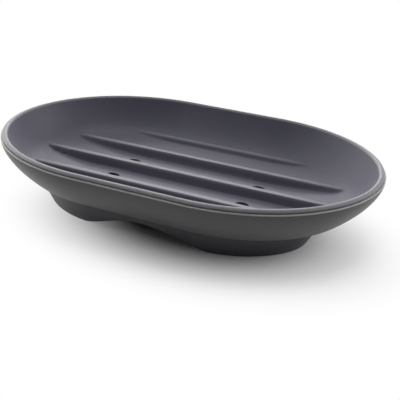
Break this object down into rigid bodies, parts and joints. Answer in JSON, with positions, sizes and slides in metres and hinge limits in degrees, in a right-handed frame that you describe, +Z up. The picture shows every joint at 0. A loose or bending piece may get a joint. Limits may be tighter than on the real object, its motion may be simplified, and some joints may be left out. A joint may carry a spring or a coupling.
{
  "type": "soap dish",
  "caption": "Oval silicone soap dish: a ribbed drain tray that lifts out of a catch shell on an arched base ring.",
  "frame": {"origin": "on the surface that the dish stands on, under the middle of its bounding box", "axes": "+X along the dish's long side, +Y across it, +Z up, the way the drain tray lifts out"},
  "size_m": [0.14, 0.091, 0.0237],
  "materials": {
    "tray_silicone": "satin matt charcoal silicone",
    "shell_silicone": "satin matt charcoal silicone",
    "ring_silicone": "matt dark charcoal silicone"
  },
  "bodies": {
    "dish": {"outer_shell": "shell_silicone", "base_ring": "ring_silicone"},
    "tray": {"drain_tray": "tray_silicone"}
  },
  "joints": [
    {"name": "tray_lift", "type": "slide", "parent": "dish", "child": "tray", "axis": [0, 0, 1], "range_m": [0, 0.03]}
  ]
}
